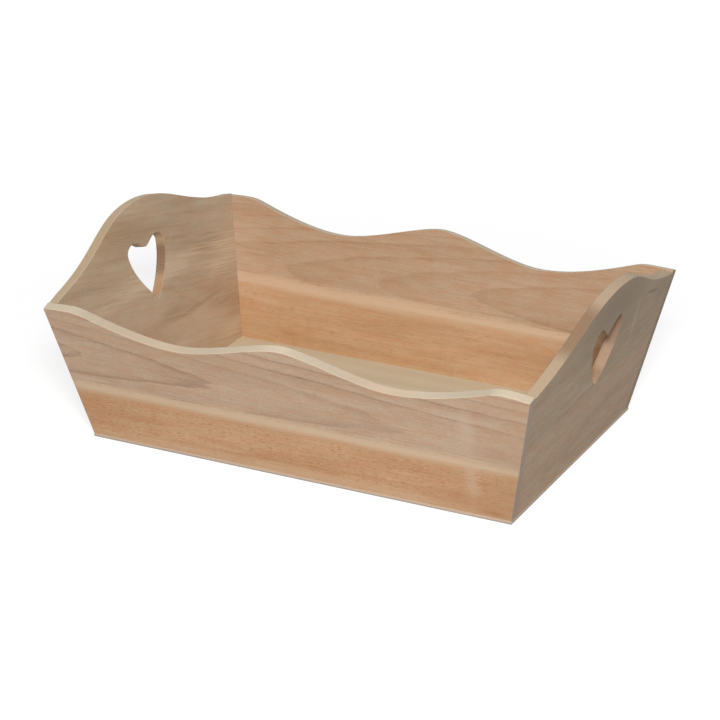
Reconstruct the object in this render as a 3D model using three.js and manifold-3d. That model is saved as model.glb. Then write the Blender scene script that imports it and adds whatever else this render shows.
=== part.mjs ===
// Wooden tray with leaning walls, waved long rims and a heart finger hole in each raised end.
// Millimetres, +Z up. The origin is the middle of the base panel's underside, +X runs along the tray.
import * as THREE from 'three';
import { ConvexGeometry } from 'three/addons/geometries/ConvexGeometry.js';
import { mergeVertices } from 'three/addons/utils/BufferGeometryUtils.js';
import Module from 'manifold-3d';

const wasm = await Module();
wasm.setup();

// Driving dimensions: the tray's outside
const RIM_LENGTH = 400; // between the outer rim corners, along X
const RIM_WIDTH = 293; // between the outer rim corners, along Y
const FLOOR_LENGTH = 352; // outside the walls at their bottom edges, along X
const FLOOR_WIDTH = 235; // outside the walls at their bottom edges, along Y
const CORNER_HEIGHT = 110.5; // from the base panel's top to the outer rim corners
const WALL = 8.5; // thickness of the wall boards
const BASE_THICKNESS = 3;
const GLUE_LINE = 0.3; // gap left for glue between two boards

// Driving dimensions: the rim of the long walls, measured on the board's outer face
const LEVEL_END = 28; // level stretch between a corner and the shoulder of the wave
const SHOULDER_EASE = 6; // half the length of the round at that shoulder
const RAMP_SLOPE = 0.33; // rise per millimetre where the wave comes up to the shoulder
const DIP_DEPTH = 18.3; // lowest point of the wave under the corners
const DIP_FROM_MIDDLE = 89; // from the middle of the wall to that lowest point
const DIP_ROUND = 28; // length of the curve's handles on each side of the dip
const RAMP_HANDLE = 20; // length of the curve's handle along the ramp
const CREST_ROUND = 21; // length of the curve's handles on each side of the middle crest

// Driving dimensions: the raised rim of the end walls, measured on the board's outer face
const HANDLE_RISE = 40; // crest of the handle over the corners
const HANDLE_OFFSET = 4; // crest and heart to the right of the wall's middle, seen from outside
const HANDLE_ROUND = 55; // length of the curve's handles on each side of the crest
const SWEEP_HANDLE = 80; // length of the curve's handle where the rim sweeps out to a corner
const SWEEP_SLOPE = 0.14; // rise per millimetre where the rim leaves a corner

// Driving dimensions: the heart
const HEART_WIDTH = 56;
const HEART_HEIGHT = 53; // from the tip to the top of the lobes
const HEART_BELOW_CREST = 31.5; // wood over the lobes, up to the level of the crest
const HEART_SHOULDER = 9.5; // from the top of the lobes down to the widest level
const HEART_LOBES = 32; // between the tops of the lobes
const HEART_NOTCH = 8.5; // depth of the notch between the lobes
const HEART_NOTCH_ROUND = 4.5; // length of the curve's handles on each side of the notch
const HEART_TIP_OUT = 11; // the sides leave the tip this far out
const HEART_TIP_UP = 9; // for this far up
const HEART_SIDE = 14; // length of the curve's handle down the side from the widest level

// Driving dimensions: the boards that each wall is glued from
const LONG_WALL_JOINT = 44; // up the slope of a long wall to its glue line
const END_WALL_JOINT = 64; // up the slope of an end wall to its glue line

// Driving dimensions: nails
const NAIL_CLEARANCE = 0.3; // between a nail and its hole
const PIN = { shank: 1.4, head: 2.6, headHeight: 0.6, point: 2, length: 14 }; // flat heads, under the base
const PIN_SET = 0.4; // pin heads under the surface of the panel
const PIN_END_MARGIN = 40; // first and last pin from the ends of a wall's bottom edge
const PINS_PER_LONG_WALL = 4;
const PINS_PER_END_WALL = 3;
const BRAD = { shank: 1.4, head: 1.9, headHeight: 0.8, point: 2, length: 22 }; // lost heads, in the corners
const BRAD_SET = 1.2; // brad heads under the surface of the long wall
const BRAD_MARGIN = 18; // first brad over the walls' bottom edge, and last brad under the corner
const BRADS_PER_CORNER = 3;

// How the round outlines are drawn
const ROUND = 0.55; // share of a quarter round that its curve's handles take
const CURVE_STEPS = 14;
const HEART_STEPS = 9;
const NAIL_SIDES = 10;
const OVERRUN = 10; // how far cutting shapes and blanks run past the wood that they cut

// Worked out from the dimensions above
const longLean = Math.atan((RIM_WIDTH - FLOOR_WIDTH) / 2 / CORNER_HEIGHT);
const endLean = Math.atan((RIM_LENGTH - FLOOR_LENGTH) / 2 / CORNER_HEIGHT);
const longCorner = CORNER_HEIGHT / Math.cos(longLean); // up the slope to a corner of a long wall
const endCorner = CORNER_HEIGHT / Math.cos(endLean); // up the slope to a corner of an end wall
const crest = endCorner + HANDLE_RISE;

const material = {
  upper: { color: '#b79b80', roughness: 0.62, metalness: 0 },
  lower: { color: '#bf9068', roughness: 0.62, metalness: 0 },
  panel: { color: '#c6ab86', roughness: 0.7, metalness: 0 },
  steel: { color: '#8b8d8f', roughness: 0.4, metalness: 1 },
};

// Half the outside length and width of the walls at a height over the base panel, or a surface inside them
const halfLength = (height, inset = 0) =>
  FLOOR_LENGTH / 2 + height * Math.tan(endLean) - inset / Math.cos(endLean);
const halfWidth = (height, inset = 0) =>
  FLOOR_WIDTH / 2 + height * Math.tan(longLean) - inset / Math.cos(longLean);

// A closed geometry as a solid that can be joined and cut, and back again
function solid(geometry) {
  const bare = geometry.clone();
  bare.deleteAttribute('normal');
  bare.deleteAttribute('uv');
  const merged = mergeVertices(bare, 1e-4);
  return new wasm.Manifold(new wasm.Mesh({
    numProp: 3,
    vertProperties: new Float32Array(merged.attributes.position.array),
    triVerts: new Uint32Array(merged.index.array),
  }));
}

function named(name, body, look) {
  let geometry = body;
  if (body instanceof wasm.Manifold) {
    const { vertProperties, triVerts } = body.getMesh();
    geometry = new THREE.BufferGeometry();
    geometry.setAttribute('position', new THREE.BufferAttribute(vertProperties, 3));
    geometry.setIndex(new THREE.BufferAttribute(triVerts, 1));
    geometry.computeVertexNormals();
  }
  const mesh = new THREE.Mesh(geometry, new THREE.MeshStandardMaterial(look));
  mesh.name = name;
  return mesh;
}

// Outlines, drawn on a board that lies flat: X along the board, Y up its slope
const point = (x, y) => new THREE.Vector2(x, y);
const curve = (...points) => new THREE.CubicBezierCurve(...points).getPoints(CURVE_STEPS);
const mirrored = (points) => points.map(({ x, y }) => point(-x, y)).reverse();

// Rim of a long wall: crest, dip, shoulder and level end, the same on both halves
function waveRim() {
  const low = longCorner - DIP_DEPTH;
  const shoulder = RIM_LENGTH / 2 - LEVEL_END;
  const rampTop = point(shoulder - SHOULDER_EASE, longCorner - SHOULDER_EASE * RAMP_SLOPE);
  const dip = point(DIP_FROM_MIDDLE, low);
  const half = [
    ...curve(point(0, longCorner), point(CREST_ROUND, longCorner), point(dip.x - DIP_ROUND, low), dip),
    ...curve(dip, point(dip.x + DIP_ROUND, low),
      point(rampTop.x - RAMP_HANDLE, rampTop.y - RAMP_HANDLE * RAMP_SLOPE), rampTop).slice(1),
    ...new THREE.QuadraticBezierCurve(rampTop, point(shoulder, longCorner),
      point(shoulder + SHOULDER_EASE, longCorner)).getPoints(CURVE_STEPS / 2).slice(1),
    point(RIM_LENGTH / 2 + OVERRUN, longCorner),
  ];
  return [...mirrored(half).slice(0, -1), ...half];
}

// Rim of an end wall: a rounded handle that sweeps out to both corners
function handleRim() {
  const top = point(HANDLE_OFFSET, crest);
  const sweep = (end) => curve(top, point(top.x + end * HANDLE_ROUND, crest),
    point(end * (RIM_WIDTH / 2 - SWEEP_HANDLE), endCorner + SWEEP_HANDLE * SWEEP_SLOPE),
    point(end * RIM_WIDTH / 2, endCorner));
  const past = RIM_WIDTH / 2 + OVERRUN;
  const left = sweep(-1).reverse().slice(0, -1);
  return [point(-past, endCorner), ...left, ...sweep(1), point(past, endCorner)];
}

function heartOutline() {
  const top = crest - HEART_BELOW_CREST;
  const tip = point(0, top - HEART_HEIGHT);
  const widest = point(HEART_WIDTH / 2, top - HEART_SHOULDER);
  const lobe = point(HEART_LOBES / 2, top);
  const notch = point(0, top - HEART_NOTCH);
  const steps = (...points) => new THREE.CubicBezierCurve(...points).getPoints(HEART_STEPS).slice(1);
  const right = [
    ...steps(tip, point(HEART_TIP_OUT, tip.y + HEART_TIP_UP),
      point(widest.x, widest.y - HEART_SIDE), widest),
    ...steps(widest, point(widest.x, widest.y + ROUND * HEART_SHOULDER),
      point(lobe.x + ROUND * (widest.x - lobe.x), top), lobe),
    ...steps(lobe, point(lobe.x - ROUND * (lobe.x - HEART_NOTCH_ROUND), top),
      point(HEART_NOTCH_ROUND, notch.y), notch),
  ];
  return [tip, ...right, ...mirrored(right).slice(1)].map(({ x, y }) => point(x + HANDLE_OFFSET, y));
}

// A flat outline cut through a board: its outer face is at Z = 0 and its inner face at Z = -WALL
function throughBoard(outline) {
  const geometry = new THREE.ExtrudeGeometry(new THREE.Shape(outline), {
    depth: WALL + 2 * OVERRUN,
    bevelEnabled: false,
  });
  return geometry.translate(0, 0, -WALL - OVERRUN);
}

// A board of a wall, as an outline that runs from one slope height up to another or up to the rim
function boardOutline(rim, from, to) {
  const ends = [rim[0].x, rim.at(-1).x];
  const top = to === undefined ? [...rim].reverse() : [point(ends[1], to), point(ends[0], to)];
  return [point(ends[0], from), point(ends[1], from), ...top];
}

// The four walls. Each faces -Y before it is turned about Z, so its X runs left to right seen from outside.
// The long walls run out to the faces of the end walls, and the end walls stand between the long ones.
const longWall = {
  lean: longLean,
  run: halfLength,
  end: halfLength,
  reach: halfWidth,
  rim: waveRim(),
  joint: LONG_WALL_JOINT,
  pins: PINS_PER_LONG_WALL,
};
const endWall = {
  lean: endLean,
  run: halfWidth,
  end: (height) => halfWidth(height, WALL + GLUE_LINE),
  reach: halfLength,
  rim: handleRim(),
  joint: END_WALL_JOINT,
  pins: PINS_PER_END_WALL,
  hole: heartOutline(),
};
const walls = [
  { name: 'front', turn: 0, ...longWall, corners: { left: -1, right: 1 } },
  { name: 'right', turn: Math.PI / 2, ...endWall },
  { name: 'back', turn: Math.PI, ...longWall, corners: { right: -1, left: 1 } },
  { name: 'left', turn: -Math.PI / 2, ...endWall },
];

const tray = new THREE.Group();
for (const wall of walls) {
  wall.side = new THREE.Group();
  wall.side.rotation.z = wall.turn;
  wall.board = new THREE.Group();
  wall.board.position.set(0, -wall.reach(0), BASE_THICKNESS);
  wall.board.rotation.x = Math.PI / 2 + wall.lean;
  wall.side.add(wall.board);
  tray.add(wall.side);
}

// A nail stands on the end of its head, with its point up the +Y axis
function nailGeometry({ shank, head, headHeight, point: tip, length }, clearance, mouth) {
  const profile = [
    point(0, -mouth),
    point(head / 2 + clearance, -mouth),
    point(head / 2 + clearance, headHeight + clearance),
    point(shank / 2 + clearance, headHeight + clearance),
    point(shank / 2 + clearance, length - tip),
    point(0, length + clearance),
  ];
  return new THREE.LatheGeometry(profile, NAIL_SIDES);
}

const nails = [];
function drive(parent, name, size, place, turn) {
  const nail = named(name, nailGeometry(size, 0, 0), material.steel);
  nail.position.copy(place);
  nail.rotation.x = turn;
  parent.add(nail);
  nails.push({ nail, hole: nailGeometry(size, NAIL_CLEARANCE, OVERRUN) });
}

// Evenly spread places from one value to another, or the middle for a single one
function spread(count, from, to) {
  if (count === 1) {
    return [(from + to) / 2];
  }
  return Array.from({ length: count }, (_, i) => from + (to - from) * i / (count - 1));
}

for (const wall of walls) {
  // Pins up through the base panel, in the middle of the wall at half their depth in it
  const depth = (PIN_SET + PIN.length - BASE_THICKNESS) / 2;
  const margin = wall.run(0) - PIN_END_MARGIN;
  spread(wall.pins, -margin, margin).forEach((x, i) => {
    const place = new THREE.Vector3(x, -wall.reach(depth, WALL / 2), PIN_SET);
    drive(wall.side, `${wall.name}_base_pin_${i + 1}`, PIN, place, Math.PI / 2);
  });
  // Brads through a long wall, along the middle of the end wall that it meets
  for (const [corner, end] of Object.entries(wall.corners ?? {})) {
    spread(BRADS_PER_CORNER, BRAD_MARGIN, CORNER_HEIGHT - BRAD_MARGIN).forEach((height, i) => {
      const x = end * wall.run(height, WALL / 2);
      const place = new THREE.Vector3(x, -wall.reach(height) + BRAD_SET, BASE_THICKNESS + height);
      drive(wall.side, `${wall.name}_${corner}_brad_${i + 1}`, BRAD, place, 0);
    });
  }
}
tray.updateMatrixWorld(true);

// Drills every nail's hole out of a body that stands in the given frame
function drilled(body, frame) {
  const toFrame = frame.matrixWorld.clone().invert();
  return nails.reduce((left, { nail, hole }) => {
    const place = toFrame.clone().multiply(nail.matrixWorld);
    return left.subtract(solid(hole.clone().applyMatrix4(place)));
  }, body);
}

// The space of a wall between its two faces and its two ends, in the flat board's own frame
function wallBlank(wall) {
  const points = [];
  for (const height of [GLUE_LINE, CORNER_HEIGHT + HANDLE_RISE + OVERRUN]) {
    for (const inset of [0, WALL]) {
      const end = wall.end(height);
      const depth = -wall.reach(height, inset);
      points.push(new THREE.Vector3(-end, depth, BASE_THICKNESS + height));
      points.push(new THREE.Vector3(end, depth, BASE_THICKNESS + height));
    }
  }
  wall.board.updateMatrix();
  return new ConvexGeometry(points).applyMatrix4(wall.board.matrix.clone().invert());
}

for (const wall of walls) {
  const blank = solid(wallBlank(wall));
  const boards = [
    ['upper', boardOutline(wall.rim, wall.joint + GLUE_LINE / 2)],
    ['lower', boardOutline(wall.rim, -OVERRUN, wall.joint - GLUE_LINE / 2)],
  ];
  for (const [level, outline] of boards) {
    let body = blank.intersect(solid(throughBoard(outline)));
    if (wall.hole) {
      body = body.subtract(solid(throughBoard(wall.hole)));
    }
    wall.board.add(named(`${wall.name}_${level}_stave`, drilled(body, wall.board), material[level]));
  }
}

// The base panel, flush with the walls' bottom edges
const panel = new THREE.BoxGeometry(FLOOR_LENGTH, FLOOR_WIDTH, BASE_THICKNESS);
panel.translate(0, 0, BASE_THICKNESS / 2);
tray.add(named('base_panel', drilled(solid(panel), tray), material.panel));

export default tray;
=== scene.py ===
# %% [markdown]
# # A beech tray with heart handles
# The tray is a shallow box of thin beech boards. Its four walls lean outwards, the two long rims wave, and
# each end rises to a rounded handle with a heart cut through it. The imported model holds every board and
# nail at its real size, and this lesson dresses it with eased edges, wood that has a growth-ring figure,
# and studio light. The frame is in metres. Sizes are written in millimetres, as on a workshop drawing, and
# MM turns them.

# %% Load the frame
import math

import bpy
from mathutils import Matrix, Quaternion, Vector


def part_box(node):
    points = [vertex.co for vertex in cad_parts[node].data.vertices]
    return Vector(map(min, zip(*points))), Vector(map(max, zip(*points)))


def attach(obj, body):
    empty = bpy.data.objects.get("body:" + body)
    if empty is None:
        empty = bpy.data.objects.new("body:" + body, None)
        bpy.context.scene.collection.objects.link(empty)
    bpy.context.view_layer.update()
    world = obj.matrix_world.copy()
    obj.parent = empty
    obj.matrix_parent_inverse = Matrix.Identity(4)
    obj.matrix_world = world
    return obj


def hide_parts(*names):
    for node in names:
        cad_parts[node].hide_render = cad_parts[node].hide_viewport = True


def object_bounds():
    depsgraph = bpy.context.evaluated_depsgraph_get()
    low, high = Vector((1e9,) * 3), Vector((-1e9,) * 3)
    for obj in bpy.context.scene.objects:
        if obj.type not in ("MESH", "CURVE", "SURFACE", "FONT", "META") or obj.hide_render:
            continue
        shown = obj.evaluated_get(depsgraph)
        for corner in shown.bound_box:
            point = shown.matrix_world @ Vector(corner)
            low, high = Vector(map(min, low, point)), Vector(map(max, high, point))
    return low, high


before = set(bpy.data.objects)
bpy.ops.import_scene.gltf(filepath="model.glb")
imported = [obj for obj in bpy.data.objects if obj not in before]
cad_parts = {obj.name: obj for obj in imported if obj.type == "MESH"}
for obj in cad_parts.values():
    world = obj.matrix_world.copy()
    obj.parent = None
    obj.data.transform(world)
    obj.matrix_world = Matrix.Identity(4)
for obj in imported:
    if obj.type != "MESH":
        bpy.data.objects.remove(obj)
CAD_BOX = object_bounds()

MM = 0.001
scene = bpy.context.scene
box_sides = [round(side / MM, 1) for side in CAD_BOX[1] - CAD_BOX[0]]
print("frame:", len(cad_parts), "nodes, box", box_sides, "mm")

# %% [markdown]
# Every material and every Geometry Nodes tree below is built from the same small helper. It adds a node,
# sets its properties, and fills its inputs: a plain value is set on the socket, and another node or socket
# is linked. Colours are picked as sRGB hex values, as a paint program shows them, and shaders want linear
# light. A second helper puts a new object into the scene.

# %% Helpers for nodes and colours
def linear(hex_colour):
    """An sRGB hex colour as the linear RGBA that a shader socket takes."""
    shares = [int(hex_colour[i:i + 2], 16) / 255 for i in (1, 3, 5)]
    return (*[s / 12.92 if s <= 0.04045 else ((s + 0.055) / 1.055) ** 2.4 for s in shares], 1.0)


def add(tree, kind, inputs=None, **settings):
    """Adds a node. An input is a value, a hex colour, a socket, a node, or a list of these."""
    node = tree.nodes.new(kind)
    for key, value in settings.items():
        setattr(node, key, value)
    for place, value in (inputs or {}).items():
        for item in value if isinstance(value, list) else [value]:
            source = item.outputs[0] if isinstance(item, bpy.types.Node) else item
            if isinstance(source, bpy.types.NodeSocket):
                tree.links.new(source, node.inputs[place])
            elif isinstance(source, str) and source.startswith("#"):
                node.inputs[place].default_value = linear(source)
            else:
                node.inputs[place].default_value = source
    return node


def placed(name, data):
    made = bpy.data.objects.new(name, data)
    scene.collection.objects.link(made)
    return made


print("a mid grey of #808080 is", round(linear("#808080")[0], 3), "in linear light")

# %% [markdown]
# The photograph was taken with a long lens, from the front right and a little above the rim. A long lens
# keeps the tray's edges almost parallel. The camera is placed by the angle that it looks from, the point
# that it looks at and its distance, and it leans by a fraction of a degree, as a camera in the hand does.

# %% Camera
VIEW_AZIMUTH = math.radians(25.95)
VIEW_ELEVATION = math.radians(22.62)
VIEW_ROLL = math.radians(0.31)
VIEW_DISTANCE = 2230
VIEW_TARGET = Vector((-4.2, 0, 52.4))
LENS = 143.25
SENSOR = 36
FARTHEST = 50_000


def direction(azimuth, elevation):
    """The way from the tray to a camera or a lamp. Azimuth 0 is in front, and 90 degrees is the right."""
    level = math.cos(elevation)
    return Vector((math.sin(azimuth) * level, -math.cos(azimuth) * level, math.sin(elevation)))


back = direction(VIEW_AZIMUTH, VIEW_ELEVATION)
camera_data = bpy.data.cameras.new("camera")
camera_data.lens = LENS
camera_data.sensor_width = SENSOR
camera_data.clip_end = FARTHEST * MM
camera = placed("camera", camera_data)
camera.rotation_mode = "QUATERNION"
camera.location = (VIEW_TARGET + back * VIEW_DISTANCE) * MM
camera.rotation_quaternion = (-back).to_track_quat("-Z", "Y") @ Quaternion((0, 0, 1), VIEW_ROLL)
scene.camera = camera
print("camera stands", round(camera.location.length, 2), "m from the tray")

# %% [markdown]
# The walls are drawn as a joiner draws them: each board lies flat, X along the board and Y up its slope,
# and it is leaned and turned into its place afterwards. The base panel gives the floor's size. From the
# rim's size and the height of the corners follow the two leans. The corners are butt joints: the long
# walls run through to the faces of the end walls, and the end walls stand between them, shorter by a
# board's thickness at each end.

# %% Sizes of the walls
panel_low, panel_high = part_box("base_panel")
FLOOR_LENGTH, FLOOR_WIDTH, BASE_THICKNESS = (panel_high - panel_low) / MM
RIM_LENGTH = 400
RIM_WIDTH = 293
CORNER_HEIGHT = 110.5
WALL = 8.5
LONG_WALL_JOINT = 44
END_WALL_JOINT = 64
HAIRLINE = 0.04

long_lean = math.atan((RIM_WIDTH - FLOOR_WIDTH) / 2 / CORNER_HEIGHT)
end_lean = math.atan((RIM_LENGTH - FLOOR_LENGTH) / 2 / CORNER_HEIGHT)
long_corner = CORNER_HEIGHT / math.cos(long_lean)
end_corner = CORNER_HEIGHT / math.cos(end_lean)

LONG = {
    "lean": long_lean,
    "neighbour": end_lean,
    "run": FLOOR_LENGTH / 2,
    "reach": FLOOR_WIDTH / 2,
    "joint": LONG_WALL_JOINT,
    "through": True,
}
END = {
    "lean": end_lean,
    "neighbour": long_lean,
    "run": FLOOR_WIDTH / 2 - WALL / math.cos(long_lean) - HAIRLINE,
    "reach": FLOOR_LENGTH / 2,
    "joint": END_WALL_JOINT,
    "through": False,
}
WALLS = {
    "front": {"turn": 0.0, **LONG},
    "right": {"turn": math.pi / 2, **END},
    "back": {"turn": math.pi, **LONG},
    "left": {"turn": -math.pi / 2, **END},
}
print("long walls lean", round(math.degrees(long_lean), 2), "and end walls", round(math.degrees(end_lean), 2))

# %% [markdown]
# The long rim has a crest in the middle, a dip on each side, a ramp up to a tight shoulder, and a level end.
# The end rim swells to its crest and sweeps out to the corners. The walls were sawn and sanded by hand, so no
# two are quite alike. The right end is a few millimetres lower than the left one, the level ends of the long
# rims droop a little, and where two rims meet at a corner, the end rim is sanded down over its last stretch
# until they are nearly flush.

# %% Sizes of the rims
LEVEL_END = 28
SHOULDER_EASE = 6
RAMP_SLOPE = 0.33
RAMP_HANDLE = 20
DIP_DEPTH = 18.3
DIP_FROM_MIDDLE = 89
DIP_ROUND = 28
CREST_ROUND = 21
HANDLE_RISE = 40
HANDLE_OFFSET = 4
FLUSH_LENGTH = 24
FLUSH_RISE = 4.2
FLUSH_EASE = 8
SWEEP_HANDLE = 61
SWEEP_SLOPE = 0.213
DROOP_EASE = 12
# Droops and corners say how far the outline's two ends, past the board, lie under the corner height.
DROOPS = {"front": (2.4, 4.6), "back": (1.0, 1.2)}
# Lower says how far the left, middle and right knots lie under the regular rim. Rounds are the handles at the
# crest, to the left and to the right.
HANDLES = {
    "right": {"lower": (3.4, 3.4, 1.9), "corners": (4.8, 3.3), "rounds": (49, 51.7)},
    "left": {"lower": (0, 0.3, 0), "corners": (1.4, 5.5), "rounds": (45.5, 49)},
}

crest = end_corner + HANDLE_RISE
print("the crests are", round(crest, 1), "mm up the slope, and the corners", round(end_corner, 1), "mm")

# %% [markdown]
# Such a rim could be traced as many points, but then no one could change it. A Bezier curve needs only a few
# knots, one at each crest, dip and shoulder. A knot is its place, its handle back and its handle ahead, and
# the knots go from left to right. The outline runs past the ends of the board and round under it, because the
# saw cuts only where outline and board meet.

# %% Outlines of the rims
OVERRUN = 10
STRAIGHT = (0, 0)


def mirrored(knots):
    """The same knots on the left of the middle, still going left to right."""
    turned = [((-x, y), (-ahead[0], ahead[1]), (-back[0], back[1])) for (x, y), back, ahead in knots]
    return turned[::-1]


def closed_below(rim, reach, left, right):
    """A closed outline: the rim, on to these heights past the ends of the board, and round under it."""
    corners = [(reach, right), (reach, -OVERRUN), (-reach, -OVERRUN), (-reach, left)]
    return rim + [(corner, STRAIGHT, STRAIGHT) for corner in corners]


def wave_outline(droops):
    shoulder = RIM_LENGTH / 2 - LEVEL_END
    # Two thirds of the way to where ramp and level end would meet give a parabola.
    ease = SHOULDER_EASE * 2 / 3
    half = [
        ((DIP_FROM_MIDDLE, long_corner - DIP_DEPTH), (-DIP_ROUND, 0), (DIP_ROUND, 0)),
        ((shoulder - SHOULDER_EASE, long_corner - SHOULDER_EASE * RAMP_SLOPE),
         (-RAMP_HANDLE, -RAMP_HANDLE * RAMP_SLOPE), (ease, ease * RAMP_SLOPE)),
        ((shoulder + SHOULDER_EASE, long_corner), (-ease, 0), (DROOP_EASE, 0)),
    ]
    middle = [((0, long_corner), (-CREST_ROUND, 0), (CREST_ROUND, 0))]
    left, right = [long_corner - droop for droop in droops]
    return closed_below(mirrored(half) + middle + half, RIM_LENGTH / 2 + OVERRUN, left, right)


def handle_outline(size):
    sweep = (SWEEP_HANDLE, SWEEP_HANDLE * SWEEP_SLOPE)
    ease = (FLUSH_EASE, -FLUSH_EASE * SWEEP_SLOPE)
    flush = RIM_WIDTH / 2 - FLUSH_LENGTH
    left, middle, right = size["lower"]
    round_left, round_right = size["rounds"]
    rim = [
        ((-flush, end_corner + FLUSH_RISE - left), (-ease[0], ease[1]), sweep),
        ((HANDLE_OFFSET, crest - middle), (-round_left, 0), (round_right, 0)),
        ((flush, end_corner + FLUSH_RISE - right), (-sweep[0], sweep[1]), ease),
    ]
    return closed_below(rim, RIM_WIDTH / 2 + OVERRUN, *[end_corner - corner for corner in size["corners"]])


rims = {name: wave_outline(droops) for name, droops in DROOPS.items()}
rims.update({name: handle_outline(size) for name, size in HANDLES.items()})
print("rims:", {name: len(knots) for name, knots in rims.items()}, "knots")

# %% [markdown]
# Each heart is a closed curve of six knots: the tip, the two widest points, the tops of the two lobes and the
# notch. Arcs would give a heart too, but handles let each lobe swell in its own way. The tip is the one sharp
# corner, so its two handles point different ways. The hearts were sawn by hand round a pattern, so the two
# aren't quite alike: the right one has wider lobes and a deeper notch, and the left one leans a little, with
# its tip off the middle.

# %% Outlines of the hearts
# Tip and side are handles: out and up from the tip, and down from the widest points.
HEARTS = {
    "right": {
        "width": 54, "height": 52.4, "below_crest": 34.2, "shoulder": 9.8, "lobes": 39, "notch": 10.5,
        "notch_round": 1.5, "tip": (15, 8), "tip_off": 0, "side": 12, "tilt": 0.0,
    },
    "left": {
        "width": 55, "height": 50.5, "below_crest": 32.3, "shoulder": 7.5, "lobes": 34, "notch": 6.5,
        "notch_round": 4.5, "tip": (11, 9), "tip_off": -3, "side": 14, "tilt": 0.045,
    },
}
ROUND = 0.55


def heart_outline(size):
    top = crest - size["below_crest"]
    widest = size["width"] / 2
    lobe = size["lobes"] / 2
    outer = ROUND * (widest - lobe)
    inner = ROUND * (lobe - size["notch_round"])
    tip_out, tip_up = size["tip"]
    left = [
        ((-widest, top - size["shoulder"]), (0, -size["side"]), (0, ROUND * size["shoulder"])),
        ((-lobe, top), (-outer, 0), (inner, 0)),
    ]
    notch = [((0, top - size["notch"]), (-size["notch_round"], 0), (size["notch_round"], 0))]
    right = mirrored(left)
    tip = [((size["tip_off"], top - size["height"]), (tip_out, tip_up), (-tip_out, tip_up))]
    knots = left + notch + right + tip
    return [((x + HANDLE_OFFSET, y + size["tilt"] * x), back, ahead) for (x, y), back, ahead in knots]


def drawn(name, outlines, steps):
    """A curve object that holds closed outlines, drawn flat."""
    curve = bpy.data.curves.new(name, "CURVE")
    curve.resolution_u = steps
    for knots in outlines:
        spline = curve.splines.new("BEZIER")
        spline.bezier_points.add(len(knots) - 1)
        spline.use_cyclic_u = True
        for bezier, ((x, y), back, ahead) in zip(spline.bezier_points, knots):
            bezier.handle_left_type = "FREE"
            bezier.handle_right_type = "FREE"
            bezier.co = Vector((x, y, 0)) * MM
            bezier.handle_left = Vector((x + back[0], y + back[1], 0)) * MM
            bezier.handle_right = Vector((x + ahead[0], y + ahead[1], 0)) * MM
    return placed(name, curve)


print("hearts:", [len(heart_outline(size)) for size in HEARTS.values()], "knots")

# %% [markdown]
# Beech is a pale pinkish wood. Sawn flat, it shows arches where the growth rings break the surface at a low
# angle, and short dark dashes, the rays, between them. Such a figure can be painted on as streaks, but then
# it doesn't run over an edge. Here it is solid: rings are counted by the distance from the tree's pith, a
# line that dives through the wood behind the board and bends a little, so the faces, the rims and the hearts
# all cut the same rings.

# %% The figure of sawn beech, its pith
PITH = ("Pith Height", "Pith Climb", "Pith Depth", "Pith Dive", "Pith Bend", "Ring Width", "First Ring")

figure = bpy.data.node_groups.new("Beech figure", "ShaderNodeTree")
figure.interface.new_socket("Board", in_out="INPUT", socket_type="NodeSocketVector")
for label in (*PITH, "Seed"):
    figure.interface.new_socket(label, in_out="INPUT", socket_type="NodeSocketFloat")
for label in ("Ring", "Cloud", "Blush", "Fibre", "Ray", "Mottle"):
    figure.interface.new_socket(label, in_out="OUTPUT", socket_type="NodeSocketFloat")

taken = add(figure, "NodeGroupInput").outputs
place = add(figure, "ShaderNodeSeparateXYZ", {0: taken["Board"]}).outputs
pith_y = add(figure, "ShaderNodeMath", {0: place[0], 1: taken["Pith Climb"], 2: taken["Pith Height"]},
             operation="MULTIPLY_ADD")
bend = add(figure, "ShaderNodeMath", {0: place[0], 1: taken["Pith Bend"], 2: taken["Pith Dive"]},
           operation="MULTIPLY_ADD")
pith_z = add(figure, "ShaderNodeMath", {0: place[0], 1: bend, 2: taken["Pith Depth"]},
             operation="MULTIPLY_ADD")
across = add(figure, "ShaderNodeMath", {0: place[1], 1: pith_y}, operation="SUBTRACT")
before = add(figure, "ShaderNodeMath", {0: place[2], 1: pith_z}, operation="SUBTRACT")
from_pith = add(figure, "ShaderNodeCombineXYZ", {1: across, 2: before})
radius = add(figure, "ShaderNodeVectorMath", {0: from_pith}, operation="LENGTH").outputs["Value"]
print("distance from the pith:", len(figure.nodes), "nodes")

# %% [markdown]
# No ring is a true circle, so two noises shift its radius, one long and slow and one short. Each ring is
# pale where it started in spring, darkens up to its last growth and breaks off. Some rings are fainter than
# others. The other noises are clouds of tone, a pink blush, fibres, rays and a fine mottle. A noise's size is
# in millimetres, along the board, up it and through it.

# %% The figure of sawn beech, its rings and fibres
RING_SHIFTS = {"warp": 2.2, "jitter": 0.5}
RING_GROWTH = ((0.4, 0.1), (0.8, 0.45), (0.95, 1.0))
FAINTEST_RING = 0.55
NOISE_SPAN = {"From Min": 0.3, "From Max": 0.7}
RAY_SPAN = {"From Min": 0.54, "From Max": 0.7}
NOISE_SIZES = {
    "warp": (150, 24, 24),
    "jitter": (22, 3, 3),
    "cloud": (130, 20, 20),
    "blush": (18, 7, 7),
    "fibre": (36, 1.0, 1.0),
    "ray": (5.5, 0.85, 0.85),
    "mottle": (2.8, 1.1, 1.1),
}

noises = {}
for label, size in NOISE_SIZES.items():
    scaled = add(figure, "ShaderNodeVectorMath", {0: taken["Board"], 1: size}, operation="DIVIDE")
    noises[label] = add(figure, "ShaderNodeTexNoise", {"Vector": scaled, "W": taken["Seed"], "Scale": 1.0},
                        noise_dimensions="4D")

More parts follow.
